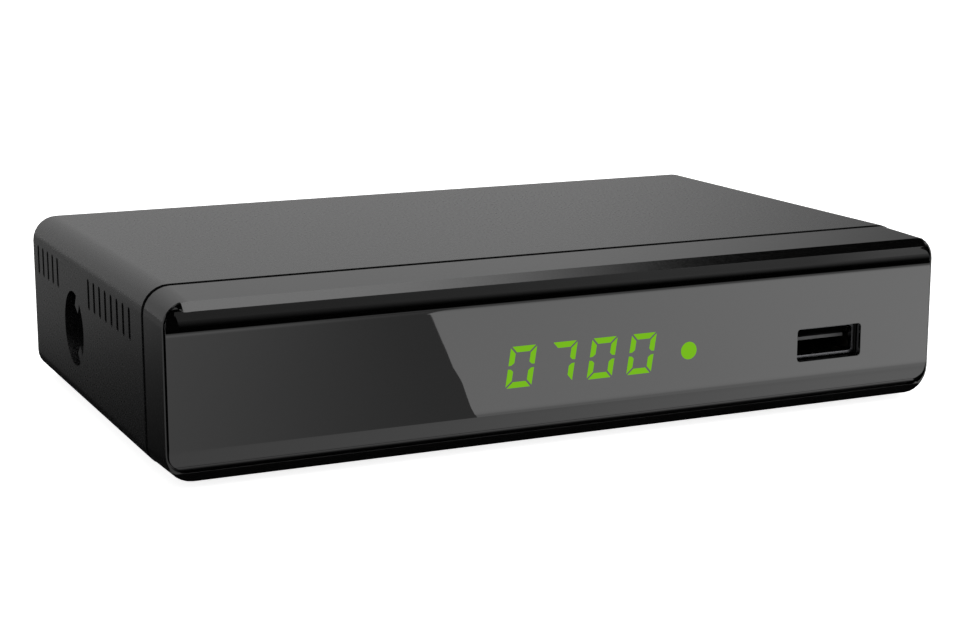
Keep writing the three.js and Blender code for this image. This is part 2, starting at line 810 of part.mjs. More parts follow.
// The display: a block with four seven-segment cells that stand a little proud of its face.
function segmentBars() {
  const across = digitWidth - segmentWidth;
  const half = (digitTall - segmentWidth) / 2;
  return [
    { u: 0, v: half, width: across - segmentGap * 2, height: segmentWidth },
    { u: 0, v: 0, width: across - segmentGap * 2, height: segmentWidth },
    { u: 0, v: -half, width: across - segmentGap * 2, height: segmentWidth },
    { u: -across / 2, v: half / 2, width: segmentWidth, height: half - segmentGap * 2 },
    { u: across / 2, v: half / 2, width: segmentWidth, height: half - segmentGap * 2 },
    { u: -across / 2, v: -half / 2, width: segmentWidth, height: half - segmentGap * 2 },
    { u: across / 2, v: -half / 2, width: segmentWidth, height: half - segmentGap * 2 },
  ];
}

function buildDisplay() {
  const face = windowRear + displayGap + segmentRise;
  const block = box([displayX - displayWidth / 2, displayX + displayWidth / 2],
    [face, frontBoardFrontY],
    [displayHeight - displayTall / 2, displayHeight + displayTall / 2]);
  const cells = Array.from({ length: digitCount }, (_, i) => i - (digitCount - 1) / 2);
  const bars = cells.flatMap((cell) => segmentBars().map(({ u, v, width, height }) => {
    const corners = [[-1, -1], [1, -1], [1, 1], [-1, 1]].map(([a, b]) => {
      const z = v + (b * height) / 2;
      const x = displayX + cell * digitPitch + u + (a * width) / 2 + z * digitSlant;
      return new THREE.Vector2(x, displayHeight + z);
    });
    return extrude('y', corners, face - segmentRise, face + segmentRise);
  }));
  return join(block, ...bars);
}

function buildStatusLight() {
  const length = frontBoardFrontY - windowRear - displayGap;
  return turn([
    [0, 0],
    [lightRadius, 0],
    [lightRadius, length - lightFlangeThickness],
    [lightFlangeRadius, length - lightFlangeThickness],
    [lightFlangeRadius, length],
    [0, length],
  ], 'y');
}

function buildInfrared() {
  const rear = frontBoardFrontY;
  const block = box([irX - irWidth / 2, irX + irWidth / 2], [rear - irBlockDepth, rear],
    [irHeight - irTall / 2, irHeight + irTall / 2]);
  const dome = new THREE.SphereGeometry(irDomeRadius, smallSteps, smallSteps / 2);
  return join(block, solidOf(dome.translate(irX, rear - irBlockDepth, irHeight)));
}

// USB socket: a folded steel shell and the insulator that carries its tongue.
const usbFront = windowFront + usbSetback;

function buildUsbShell() {
  const outline = centred(usbX, usbHeight, usbShellWidth, usbShellHeight, usbSlotRadius);
  const rear = usbFront + usbShellLength;
  const body = extrude('y', outlinePoints(outline, slotSteps), usbFront, rear);
  const hollow = inset(outline, usbShellWall);
  return cut(body, extrude('y', outlinePoints(hollow, slotSteps), usbFront - overrun, rear + overrun));
}

function buildUsbInsulator() {
  const rear = usbFront + usbShellLength;
  const half = usbShellHeight / 2 - usbShellWall - slipGap;
  const reach = usbShellWidth / 2 - usbBlockInset;
  const block = box([usbX - reach, usbX + reach],
    [rear - usbBlockLength, rear], [usbHeight - half, usbHeight + half]);
  const tongue = box([usbX - usbTongueWidth / 2, usbX + usbTongueWidth / 2],
    [usbFront + usbTongueSetback, rear - usbBlockLength / 2],
    [usbHeight + half - usbTongueLift - usbTongueThickness, usbHeight + half - usbTongueLift]);
  return join(block, tongue);
}

// Tuner: a soldered can with its lid, and a turned sleeve for each aerial socket.
const tunerRearY = panelFrontY - fitGap;
const tunerFrontY = tunerRearY - tunerDepth;
const socketSeatY = tunerRearY;

function buildTunerCan() {
  const top = boardTop + tunerHeight;
  const body = box([tunerLeft, tunerRight], [tunerFrontY, tunerRearY], [boardTop, top]);
  return cut(body, box([tunerLeft + tunerWall, tunerRight - tunerWall],
    [tunerFrontY + tunerWall, tunerRearY - tunerWall], [boardTop + tunerWall, top + overrun]));
}

function buildTunerLid() {
  const base = boardTop + tunerHeight;
  return box([tunerLeft, tunerRight], [tunerFrontY, tunerRearY], [base, base + tunerLidThickness]);
}

const socketLength = (protrusion) => panelRearY + protrusion - socketSeatY;

function buildSleeve(radius, bore, protrusion) {
  const length = socketLength(protrusion);
  return turn([
    [0, 0],
    [radius, 0],
    [radius, length],
    [bore, length],
    [bore, socketBaseThickness],
    [0, socketBaseThickness],
  ], 'y', boreSteps);
}

const buildInsulator = (bore) => turn([
  [0, 0],
  [bore - slipGap, 0],
  [bore - slipGap, insulatorThickness],
  [0, insulatorThickness],
], 'y');

function buildAerialContact() {
  const seat = socketBaseThickness + insulatorThickness;
  const length = socketLength(aerialProtrusion) - seat - aerialContactSetback;
  return turn([
    [0, 0],
    [aerialContactRadius, 0],
    [aerialContactRadius, length],
    [aerialContactBore, length],
    [aerialContactBore, aerialContactBore],
    [0, aerialContactBore],
  ], 'y', smallSteps);
}

function buildAerialPin() {
  const seat = socketBaseThickness + insulatorThickness;
  const length = socketLength(aerialProtrusion) - seat - aerialPinSetback;
  return turn([
    [0, 0],
    [aerialPinRadius, 0],
    [aerialPinRadius, length - aerialPinRadius],
    [aerialPinRadius / 2, length],
    [0, length],
  ], 'y', smallSteps);
}

// HDMI: a shell that narrows at its foot, and a tongue on its block.
function hdmiOutline(by) {
  const [half, foot] = [hdmiWidth / 2 - by, hdmiFootWidth / 2 - by];
  const low = boardTop + seatGap + by;
  const high = boardTop + seatGap + hdmiTall - by;
  const knee = low + hdmiFootRise;
  return [[-foot, low], [foot, low], [half, knee], [half, high], [-half, high], [-half, knee]]
    .map(([x, z]) => new THREE.Vector2(hdmiX + x, z));
}

const hdmiRear = panelRearY + hdmiProtrusion;

function buildHdmiShell() {
  const front = hdmiRear - hdmiLength;
  const body = extrude('y', hdmiOutline(0), front, hdmiRear);
  return cut(body, extrude('y', hdmiOutline(hdmiWall), front - overrun, hdmiRear + overrun));
}

function buildHdmiTongue() {
  const front = hdmiRear - hdmiLength;
  const block = extrude('y', hdmiOutline(hdmiWall + slipGap), front, front + hdmiBlockLength);
  const middle = boardTop + seatGap + hdmiTall / 2 + hdmiTongueThickness / 2;
  const tongue = box([hdmiX - hdmiTongueWidth / 2, hdmiX + hdmiTongueWidth / 2],
    [front + hdmiBlockLength / 2, hdmiRear - hdmiTongueSetback],
    [middle - hdmiTongueThickness / 2, middle + hdmiTongueThickness / 2]);
  return join(block, tongue);
}

// Coaxial digital audio: a body on the board, an outer sleeve and a coloured insulator.
function buildCoaxBody() {
  return box([coaxX - coaxBodyWidth / 2, coaxX + coaxBodyWidth / 2],
    [socketSeatY - coaxBodyDepth, socketSeatY], [boardTop, boardTop + coaxBodyTall]);
}

function buildCoaxInsulator() {
  const length = socketLength(coaxProtrusion) - socketBaseThickness - coaxInsulatorSetback;
  return turn([
    [0, 0],
    [coaxBore - slipGap, 0],
    [coaxBore - slipGap, length],
    [coaxPinBore, length],
    [coaxPinBore, socketBaseThickness],
    [0, socketBaseThickness],
  ], 'y');
}

// SCART: a shroud with one cut corner round a block with two rows of contact slots.
function scartOutline(by) {
  const half = scartWidth / 2 - by;
  const [low, high] = [boardTop + by, boardTop + scartTall - by];
  const slope = scartCornerCut - by * (2 - Math.SQRT2);
  return [[-half, low], [half, low], [half, high], [slope - half, high], [-half, high - slope]]
    .map(([x, z]) => new THREE.Vector2(scartX + x, z));
}

const scartRear = panelRearY + scartProtrusion;

function buildScartShroud() {
  const front = scartRear - scartDepth;
  const body = extrude('y', scartOutline(0), front, scartRear);
  return cut(body, extrude('y', scartOutline(scartWall), front + scartWall, scartRear + overrun));
}

function buildScartInsert() {
  const front = scartRear - scartDepth + scartWall;
  const rear = scartRear - scartInsertSetback;
  const block = extrude('y', scartOutline(scartWall + scartInsertMargin), front, rear);
  const middle = boardTop + scartTall / 2;
  const slots = [-0.5, 0.5].flatMap((row) => Array.from({ length: scartContactCount }, (_, i) => {
    const x = scartX + (i - (scartContactCount - 1) / 2) * scartContactPitch + row * scartRowShift;
    const z = middle + row * scartRowSpacing;
    return box([x - scartContactWidth / 2, x + scartContactWidth / 2],
      [rear - scartContactDepth, rear + overrun],
      [z - scartContactTall / 2, z + scartContactTall / 2]);
  }));
  return cut(block, ...slots);
}

// DC jack: a block on the board with its bore facing the inlet, and the pin in the bore.
const jackFace = -bodyWidth / 2 + wall + inletCollarDepth + fitGap;

function buildJack() {
  const body = box([jackFace, jackFace + jackLength], [inletY - jackWidth / 2, inletY + jackWidth / 2],
    [boardTop, boardTop + jackHeight]);
  return cut(body, rod('x', jackBore, jackFace - overrun, jackFace + jackBoreDepth, [inletY, inletHeight]));
}

function buildJackPin() {
  const pin = turn([
    [0, 0],
    [jackPinRadius, 0],
    [jackPinRadius, jackPinLength - jackPinRadius / 2],
    [jackPinRadius / 2, jackPinLength],
    [0, jackPinLength],
  ], 'y', smallSteps);
  return geometryOf(pin).rotateZ(Math.PI / 2);
}

// Parts on the main board
function buildHeatsink() {
  const half = sinkSize / 2;
  const base = box([-half, half], [-half, half], [0, sinkBase]);
  const step = (sinkSize - sinkFinThickness) / (sinkFinCount - 1);
  const fins = Array.from({ length: sinkFinCount }, (_, i) => {
    const x = -half + i * step;
    return box([x, x + sinkFinThickness], [-half, half], [sinkBase / 2, sinkBase + sinkFinHeight]);
  });
  return join(base, ...fins);
}

function buildChoke() {
  const half = chokeSize / 2;
  const body = box([-half, half], [-half, half], [0, chokeHeight]);
  const well = rod('z', half - chokeRim, chokeHeight * chokeWellShare, chokeHeight + overrun, [0, 0]);
  const core = rod('z', half - chokeRim * 2, chokeHeight * chokeCoreLowShare,
    chokeHeight * chokeCoreHighShare, [0, 0]);
  return join(cut(body, well), core);
}

function buildCapacitor() {
  const bead = capacitorRadius - capacitorBead;
  return turn([
    [0, 0],
    [capacitorRadius, 0],
    [capacitorRadius, capacitorBaseHeight],
    [bead, capacitorBaseHeight + capacitorBead],
    [capacitorRadius, capacitorBaseHeight + capacitorBead * 2],
    [capacitorRadius, capacitorHeight - capacitorBead],
    [bead, capacitorHeight],
    [0, capacitorHeight],
  ], 'z', roundSteps);
}

function buildCrystal() {
  const outline = centred(0, 0, crystalWidth, crystalLength, (crystalWidth / 2) * pillEndShare);
  return extrude('z', outlinePoints(outline, edgeSteps), 0, crystalHeight);
}

const block = (width, length, height) =>
  box([-width / 2, width / 2], [-length / 2, length / 2], [0, height]);

// Assembly
const receiver = new THREE.Group();

function place(name, solid, material, x = 0, y = 0, z = 0) {
  const geometry = solid.isBufferGeometry ? solid : geometryOf(solid);
  const mesh = new THREE.Mesh(geometry, material);
  mesh.name = name;
  mesh.position.set(x, y, z);
  receiver.add(mesh);
}

place('housing_shell', buildHousing(), materials.housing);
place('base_plate', buildBase(), materials.housing);
place('front_bezel', buildBezel(), materials.bezel);
place('front_window', buildWindow(), materials.window);
place('rear_panel', buildPanel(), materials.panel);

const foot = geometryOf(buildFoot());
feet.forEach(([corner, x, y]) => place(`foot_${corner}`, foot, materials.rubber, x, y));

const closingScrew = geometryOf(
  buildScrew(screwHeadRadius, screwHeadHeight, screwShankRadius, screwShankLength));
columns.forEach(([corner, x, y]) =>
  place(`closing_screw_${corner}`, closingScrew, materials.steel, x, y, screwSinkDepth));

place('main_board', buildMainBoard(), materials.board);
const boardScrew = geometryOf(
  buildScrew(boardScrewHeadRadius, boardScrewHeadHeight, boardScrewRadius, boardScrewLength))
  .rotateX(Math.PI);
boardMounts.forEach(([corner, x, y]) =>
  place(`board_screw_${corner}`, boardScrew, materials.steel, x, y, boardTop));

place('front_board', buildFrontBoard(), materials.board);
place('board_header', buildHeader(), materials.socket);
place('display_module', buildDisplay(), materials.display);
const faceY = windowRear + displayGap;
place('status_light', buildStatusLight(), materials.light, lightX, faceY, lightHeight);
place('infrared_receiver', buildInfrared(), materials.infrared);
place('usb_shell', buildUsbShell(), materials.nickel);
place('usb_insulator', buildUsbInsulator(), materials.socket);

place('tuner_can', buildTunerCan(), materials.can);
place('tuner_lid', buildTunerLid(), materials.can);
const aerials = [
  ['aerial_in', aerialInX, aerialInRadius, aerialInBore, 'contact', buildAerialContact()],
  ['aerial_out', aerialOutX, aerialOutRadius, aerialOutBore, 'pin', buildAerialPin()],
];
aerials.forEach(([name, x, radius, bore, centreName, centre]) => {
  const seat = socketSeatY + socketBaseThickness;
  place(`${name}_sleeve`, buildSleeve(radius, bore, aerialProtrusion), materials.nickel,
    x, socketSeatY, aerialHeight);
  place(`${name}_insulator`, buildInsulator(bore), materials.insulator, x, seat, aerialHeight);
  place(`${name}_${centreName}`, centre, materials.gold, x, seat + insulatorThickness, aerialHeight);
});

place('hdmi_shell', buildHdmiShell(), materials.nickel);
place('hdmi_tongue', buildHdmiTongue(), materials.socket);
place('coax_body', buildCoaxBody(), materials.socket);
place('coax_sleeve', buildSleeve(coaxRadius, coaxBore, coaxProtrusion), materials.nickel,
  coaxX, socketSeatY, coaxHeight);
place('coax_insulator', buildCoaxInsulator(), materials.orange,
  coaxX, socketSeatY + socketBaseThickness, coaxHeight);
place('scart_shroud', buildScartShroud(), materials.socket);
place('scart_insert', buildScartInsert(), materials.socket);
place('dc_jack', buildJack(), materials.socket);
place('dc_pin', buildJackPin(), materials.nickel, jackFace + jackBoreDepth, inletY, inletHeight);

place('main_chip', block(chipSize, chipSize, chipHeight), materials.chip, chipX, chipY, boardTop);
place('heatsink', buildHeatsink(), materials.sink, chipX, chipY, boardTop + chipHeight);
place('memory_chip', block(memoryWidth, memoryLength, memoryHeight), materials.chip,
  memoryX, chipY, boardTop);
place('crystal', buildCrystal(), materials.can, crystalX, chipY, boardTop);
place('power_choke', buildChoke(), materials.chip, chokeX, chokeY, boardTop);
const capacitor = geometryOf(buildCapacitor());
[0, 1].forEach((i) => place(`capacitor_${i + 1}`, capacitor, materials.sleeve,
  capacitorX + i * capacitorSpacing, capacitorY, boardTop));

// The footprint runs from the visor's nose to the mouths of the aerial sockets.
const noseY = -(visorReach + visorChamfer);
const mouthY = panelRearY + Math.max(aerialProtrusion, coaxProtrusion);
receiver.position.set(0, -(noseY + mouthY) / 2, footHeight);

export default receiver;
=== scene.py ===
"""Looks for a small terrestrial tv receiver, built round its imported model. Metres, +Z up, front to -Y."""

import json
import math

import bmesh
import bpy
from mathutils import Matrix, Vector


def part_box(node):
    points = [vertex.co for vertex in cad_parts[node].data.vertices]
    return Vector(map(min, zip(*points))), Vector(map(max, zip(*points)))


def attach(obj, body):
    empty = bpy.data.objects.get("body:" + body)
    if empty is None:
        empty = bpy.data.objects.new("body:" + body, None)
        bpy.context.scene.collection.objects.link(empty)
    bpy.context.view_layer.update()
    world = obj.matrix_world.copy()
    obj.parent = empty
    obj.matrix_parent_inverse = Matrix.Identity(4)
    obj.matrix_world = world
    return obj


MM = 0.001

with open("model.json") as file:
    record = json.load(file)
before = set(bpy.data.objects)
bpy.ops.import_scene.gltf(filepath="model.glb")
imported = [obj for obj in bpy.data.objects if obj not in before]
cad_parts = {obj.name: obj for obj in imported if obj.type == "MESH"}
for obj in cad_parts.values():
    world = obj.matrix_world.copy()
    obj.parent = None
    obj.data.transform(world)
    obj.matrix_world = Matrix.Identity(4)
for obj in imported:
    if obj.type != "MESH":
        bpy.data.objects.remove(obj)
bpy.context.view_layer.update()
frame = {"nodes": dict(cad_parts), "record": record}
nodes = frame["nodes"]
scene = bpy.context.scene
scene.view_settings.view_transform = "Standard"


# Camera, fitted to the edges of the object in the photograph.
CAMERA_PLACE = Vector((-160.285, -351.949, 94.823)) * MM
CAMERA_RIGHT = Vector((0.90689, -0.42136, -0.0003))
CAMERA_FORWARD = Vector((0.41208, 0.88706, -0.20814))
FOCAL_MM = 75.5
SENSOR_MM = 36.0
CLIP_START = 0.01
CLIP_END = 20.0


def add_camera():
    data = bpy.data.cameras.new("photo_camera")
    data.lens = FOCAL_MM
    data.sensor_width = SENSOR_MM
    data.clip_start = CLIP_START
    data.clip_end = CLIP_END
    camera = bpy.data.objects.new("photo_camera", data)
    scene.collection.objects.link(camera)
    forward = CAMERA_FORWARD.normalized()
    right = CAMERA_RIGHT.normalized()
    up = right.cross(forward).normalized()
    turn = Matrix((right, up, -forward)).transposed()
    camera.matrix_world = Matrix.Translation(CAMERA_PLACE) @ turn.to_4x4()
    scene.camera = camera


add_camera()


# Materials
NOISE_LOW = 0.3
NOISE_HIGH = 0.7


class Shader:
    """One Principled material whose colour, roughness and relief come from procedural noise. Sizes of the
    noise are in millimetres, and stretch scales its coordinates along each axis."""

    def __init__(self, name, color, rough, metal=0.0, ior=1.5):
        self.material = bpy.data.materials.new(name)
        self.material.use_nodes = True
        self.tree = self.material.node_tree
        self.out = self.tree.nodes["Principled BSDF"]
        self.color = color
        self.rough = rough
        self.out.inputs["Base Color"].default_value = (*color, 1.0)
        self.out.inputs["Roughness"].default_value = rough
        self.out.inputs["Metallic"].default_value = metal
        self.out.inputs["IOR"].default_value = ior

    def link(self, source, target):
        self.tree.links.new(source, target)

    def coordinates(self, stretch):
        place = self.tree.nodes.new("ShaderNodeTexCoord").outputs["Object"]
        if stretch is None:
            return place
        mapping = self.tree.nodes.new("ShaderNodeMapping")
        mapping.inputs["Scale"].default_value = stretch
        self.link(place, mapping.inputs["Vector"])
        return mapping.outputs["Vector"]

    def noise(self, size_mm, stretch=None):
        noise = self.tree.nodes.new("ShaderNodeTexNoise")
        noise.inputs["Scale"].default_value = 1.0 / (size_mm * MM)
        self.link(self.coordinates(stretch), noise.inputs["Vector"])
        return noise.outputs["Fac"]

    def spread(self, factor, low, high):
        """Spreads the part of the noise that is mostly met over the whole range from low to high."""
        ramp = self.tree.nodes.new("ShaderNodeMapRange")
        ramp.inputs["From Min"].default_value = NOISE_LOW
        ramp.inputs["From Max"].default_value = NOISE_HIGH
        ramp.inputs["To Min"].default_value = low
        ramp.inputs["To Max"].default_value = high
        self.link(factor, ramp.inputs["Value"])
        return ramp.outputs["Result"]

    def vary_rough(self, size_mm, amount, stretch=None):
        factor = self.noise(size_mm, stretch)
        rough = self.spread(factor, self.rough - amount, self.rough + amount)
        self.link(rough, self.out.inputs["Roughness"])
        return self

    def vary_color(self, size_mm, low, high):
        mix = self.tree.nodes.new("ShaderNodeMix")
        mix.data_type = "RGBA"
        mix.inputs["A"].default_value = (*[c * low for c in self.color], 1.0)
        mix.inputs["B"].default_value = (*[c * high for c in self.color], 1.0)
        factor = self.noise(size_mm)
        self.link(self.spread(factor, 0.0, 1.0), mix.inputs["Factor"])
        self.link(mix.outputs["Result"], self.out.inputs["Base Color"])
        return self

    def relief(self, size_mm, depth_mm, stretch=None):
        bump = self.tree.nodes.new("ShaderNodeBump")
        bump.inputs["Distance"].default_value = depth_mm * MM
        self.link(self.noise(size_mm, stretch), bump.inputs["Height"])
        self.link(bump.outputs["Normal"], self.out.inputs["Normal"])
        return self


def linear(r, g, b):
    """An sRGB colour from 0 to 255 as linear light."""
    return tuple(((c / 255 + 0.055) / 1.055) ** 2.4 if c > 10 else c / 255 / 12.92 for c in (r, g, b))


LIT_GREEN = linear(118, 184, 32)
BRUSHED_FINE = (1, 0.08, 1)
BRUSHED_DEEP = (1, 0.05, 1)

looks = {
    "housing": Shader("housing_plastic", linear(13, 13, 14), 0.26)
    .vary_rough(0.5, 0.03).vary_color(12, 0.92, 1.08).relief(0.32, 0.008),
    "bezel": Shader("bezel_plastic", linear(5, 5, 5), 0.15)
    .vary_rough(0.6, 0.02).vary_color(10, 0.94, 1.06).relief(0.4, 0.004),
    "window": Shader("window_acrylic", linear(3, 3, 3), 0.02, ior=1.6)
    .vary_rough(18, 0.006).vary_color(30, 0.9, 1.1),
    "panel": Shader("panel_plastic", linear(30, 30, 31), 0.5)
    .vary_rough(6, 0.04).vary_color(9, 0.9, 1.1).relief(0.3, 0.012),
    "foot_rubber": Shader("foot_rubber", linear(24, 24, 24), 0.78)
    .vary_rough(2, 0.06).vary_color(3, 0.85, 1.15).relief(0.25, 0.02),
    "screw_steel": Shader("screw_steel", linear(168, 168, 165), 0.34, metal=1.0)
    .vary_rough(0.8, 0.08).vary_color(1.5, 0.85, 1.05).relief(0.3, 0.004),
    "circuit_board": Shader("board_mask", linear(22, 84, 48), 0.42)
    .vary_rough(2, 0.06).vary_color(4, 0.75, 1.15).relief(0.5, 0.01),
    "socket_plastic": Shader("socket_plastic", linear(22, 22, 23), 0.46)
    .vary_rough(2, 0.05).vary_color(3, 0.85, 1.15).relief(0.25, 0.008),
    "nickel": Shader("nickel_plate", linear(190, 186, 176), 0.22, metal=1.0)
    .vary_rough(1.6, 0.05).vary_color(3, 0.93, 1.04).relief(0.5, 0.003),
    "contact": Shader("contact_gold", linear(214, 168, 84), 0.26, metal=1.0)
    .vary_rough(1, 0.05).vary_color(2, 0.9, 1.06).relief(0.3, 0.003),
    "insulator": Shader("insulator_plastic", linear(224, 221, 212), 0.45)
    .vary_rough(2, 0.05).vary_color(2, 0.94, 1.03).relief(0.25, 0.006),
    "orange_plastic": Shader("coax_plastic", linear(222, 112, 32), 0.42)
    .vary_rough(2, 0.05).vary_color(2, 0.92, 1.04).relief(0.25, 0.006),
    "display": Shader("display_resin", linear(34, 36, 36), 0.36)
    .vary_rough(4, 0.04).vary_color(5, 0.9, 1.1).relief(0.4, 0.005),
    "light": Shader("light_diffuser", LIT_GREEN, 0.3)
    .vary_rough(1, 0.04).vary_color(2, 0.95, 1.05).relief(0.4, 0.003),
    "infrared": Shader("infrared_lens", linear(16, 10, 16), 0.1)
    .vary_rough(2, 0.03).vary_color(2, 0.9, 1.1).relief(2, 0.003),
    "tinplate": Shader("tinplate", linear(182, 182, 178), 0.34, metal=1.0)
    .vary_rough(3, 0.08).vary_color(5, 0.88, 1.04).relief(1.2, 0.006),
    "chip": Shader("chip_epoxy", linear(30, 30, 32), 0.5)
    .vary_rough(1.5, 0.06).vary_color(2, 0.85, 1.15).relief(0.2, 0.01),
    "heatsink": Shader("sink_aluminium", linear(178, 180, 182), 0.38, metal=1.0)
    .vary_rough(1.2, 0.08, BRUSHED_FINE).vary_color(3, 0.9, 1.05).relief(0.3, 0.006, BRUSHED_DEEP),
    "capacitor": Shader("capacitor_sleeve", linear(36, 42, 54), 0.3)
    .vary_rough(2, 0.05).vary_color(3, 0.9, 1.1).relief(0.8, 0.005),
    "usb_plastic": Shader("usb_plastic", linear(4, 4, 4), 0.6, ior=1.12)
    .vary_rough(2, 0.05).vary_color(2, 0.85, 1.15).relief(0.25, 0.006),
    # A pale grey that paints the highlight on the USB tongue's lower edge.
    "usb_tongue_highlight": Shader("usb_highlight_paint", linear(48, 48, 49), 0.46)
    .vary_rough(2, 0.05).vary_color(2, 0.9, 1.1).relief(0.25, 0.004),
    # Steel far darker than the shell's nickel: painted shade in the socket's mouth.
    "usb_lip": Shader("usb_lip_shaded_steel", linear(80, 80, 82), 0.26, metal=1.0)
    .vary_rough(1, 0.05).vary_color(2, 0.92, 1.06).relief(0.4, 0.003),
}


def lit_green():
    """A plain glowing green, with no gloss of its own."""
    shader = Shader("lit_segment", (0.0, 0.0, 0.0), 0.6)
    shader.out.inputs["Specular IOR Level"].default_value = 0.0
    shader.out.inputs["Emission Color"].default_value = (*LIT_GREEN, 1.0)
    shader.out.inputs["Emission Strength"].default_value = 1.0
    return shader.material


LIT = lit_green()


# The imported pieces
WELD_GAP = 0.001 * MM
FLAT_ANGLE = math.radians(0.6)
BEVEL_ANGLE = math.radians(32)
BEVEL_SEGMENTS = 2
FACE_WEIGHT = 100

# The softened edge of each piece, in mm, by how its name starts. With 0 the edges stay as packed, because a
# bevel would fold a face there.
EDGES_MM = {
    "housing_shell": 0.2,
    "base_plate": 0.15,
    "front_bezel": 0.2,
    "front_window": 0.12,
    "rear_panel": 0.06,
    "foot": 0.15,
    "closing_screw": 0,
    "board_screw": 0.1,
    "display_module": 0,
    "usb_insulator": 0,
    "usb_shell": 0.08,
    "hdmi_shell": 0.08,
    "scart_shroud": 0.2,
    "aerial_in_sleeve": 0.15,
    "aerial_out_sleeve": 0.15,
    "coax_sleeve": 0.15,
}
DEFAULT_EDGE_MM = 0.1

# Pieces with another look than their material slot's.
OWN_LOOK = {"usb_insulator": "usb_plastic"}


def edge_of(name):
    return next((width for stem, width in EDGES_MM.items() if name.startswith(stem)), DEFAULT_EDGE_MM)


def dress(name, material, edge_mm):
    """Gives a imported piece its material, smooth curves and softened edges. Its vertices stay as packed: its
    stored normals go, and modifiers do the rest."""
    piece = nodes[name]
    piece.data.materials.clear()
    piece.data.materials.append(material)
    if "custom_normal" in piece.data.attributes:
        piece.data.attributes.remove(piece.data.attributes["custom_normal"])
    piece.data.shade_smooth()
    weld = piece.modifiers.new("weld", "WELD")
    weld.merge_threshold = WELD_GAP
    flat = piece.modifiers.new("flat", "DECIMATE")
    flat.decimate_type = "DISSOLVE"
    flat.angle_limit = FLAT_ANGLE
    if edge_mm:
        bevel = piece.modifiers.new("bevel", "BEVEL")
        bevel.width = edge_mm * MM
        bevel.segments = BEVEL_SEGMENTS
        bevel.limit_method = "ANGLE"
        bevel.angle_limit = BEVEL_ANGLE
        bevel.miter_outer = "MITER_SHARP"
        bevel.use_clamp_overlap = True
    weighted = piece.modifiers.new("weighted", "WEIGHTED_NORMAL")
    weighted.weight = FACE_WEIGHT
    weighted.keep_sharp = False


slot_of = {part["node"]: part["material_slot"] for part in frame["record"]["subparts"]}
for node_name in sorted(nodes):
    look = OWN_LOOK.get(node_name, slot_of[node_name])
    dress(node_name, looks[look].material, edge_of(node_name))


# New pieces
WINDOW_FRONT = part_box("front_window")[0].y


def mesh_piece(name, bm, material):
    """Turns a bmesh into a piece that rides with the part."""
    bmesh.ops.recalc_face_normals(bm, faces=bm.faces)
    mesh = bpy.data.meshes.new(name)
    bm.to_mesh(mesh)
    bm.free()
    mesh.materials.append(material)
    piece = bpy.data.objects.new(name, mesh)
    scene.collection.objects.link(piece)
    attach(piece, "root")


def add_prism(bm, outline, front, back):
    """A closed prism between two places along Y, from an outline of (x, z) points in metres."""
    rings = [[bm.verts.new((x, y, z)) for x, z in outline] for y in (front, back)]
    bm.faces.new(rings[0])
    bm.faces.new(list(reversed(rings[1])))
    count = len(outline)
    for i in range(count):
        j = (i + 1) % count
        bm.faces.new((rings[0][j], rings[0][i], rings[1][i], rings[1][j]))


def add_ring(bm, outer, inner, front, back):
    """A closed ring between two outlines of equally many points, from one place along Y to another."""
    loops = [[bm.verts.new((x, y, z)) for x, z in line] for line in (outer, inner) for y in (front, back)]
    outer_front, outer_back, inner_front, inner_back = loops
    count = len(outer)
    for i in range(count):
        j = (i + 1) % count
        bm.faces.new((outer_front[i], outer_front[j], inner_front[j], inner_front[i]))
        bm.faces.new((outer_back[j], outer_back[i], inner_back[i], inner_back[j]))
        bm.faces.new((outer_front[j], outer_front[i], outer_back[i], outer_back[j]))
        bm.faces.new((inner_front[i], inner_front[j], inner_back[j], inner_back[i]))


# The lit figures of the display and the status light, let into the window's face.
FIGURES = "0700"
SEGMENTS = {"0": "abcdef", "7": "abc"}
DIGIT_WIDTH = 5.0 * MM
DIGIT_HEIGHT = 7.3 * MM
DIGIT_STROKE = 1.05 * MM
DIGIT_GAP = 0.24 * MM
DIGIT_WAIST = 0.3 * MM
DIGIT_PITCH = 7.9 * MM
DIGIT_LEAN = 0.155
FIRST_DIGIT_X = -11.6 * MM
DIGIT_CENTRE_Z = 14.77 * MM
LIT_PROUD = 0.02 * MM
LIT_DEPTH = 0.4 * MM
DOT_X = 21.81 * MM
DOT_Z = 14.38 * MM
DOT_RADIUS = 1.61 * MM
DOT_STEPS = 40

# The point of an upright bar at the figure's waist: inwards and upwards, as shares of the stroke.
BAR_POINT_SHARES = ((0.55, 0.05), (1.0, 0.45))


def segment_outlines():
    """Each bar of a seven-bar figure about the figure's centre, with mitred ends."""
    w, h, t, g, m = DIGIT_WIDTH / 2, DIGIT_HEIGHT / 2, DIGIT_STROKE, DIGIT_GAP, DIGIT_WAIST
    top = [(g - w, h), (w - g, h), (w - t - g, h - t), (t + g - w, h - t)]
    point = [(w - t * inwards, m + t * upwards) for inwards, upwards in BAR_POINT_SHARES]
    side = [(w, h - g), (w, m), *point, (w - t, h - t - g)]
    return {
        "a": top,
        "b": side,
        "c": [(x, -z) for x, z in side],
        "d": [(x, -z) for x, z in top],
        "e": [(-x, -z) for x, z in side],
        "f": [(-x, z) for x, z in side],
    }


def add_display_figures():
    bars = segment_outlines()
    bm = bmesh.new()
    for place, figure in enumerate(FIGURES):
        middle = FIRST_DIGIT_X + place * DIGIT_PITCH
        for bar in SEGMENTS[figure]:
            outline = [(middle + x + z * DIGIT_LEAN, DIGIT_CENTRE_Z + z) for x, z in bars[bar]]
            add_prism(bm, outline, WINDOW_FRONT - LIT_PROUD, WINDOW_FRONT + LIT_DEPTH)
    mesh_piece("display_figures", bm, LIT)


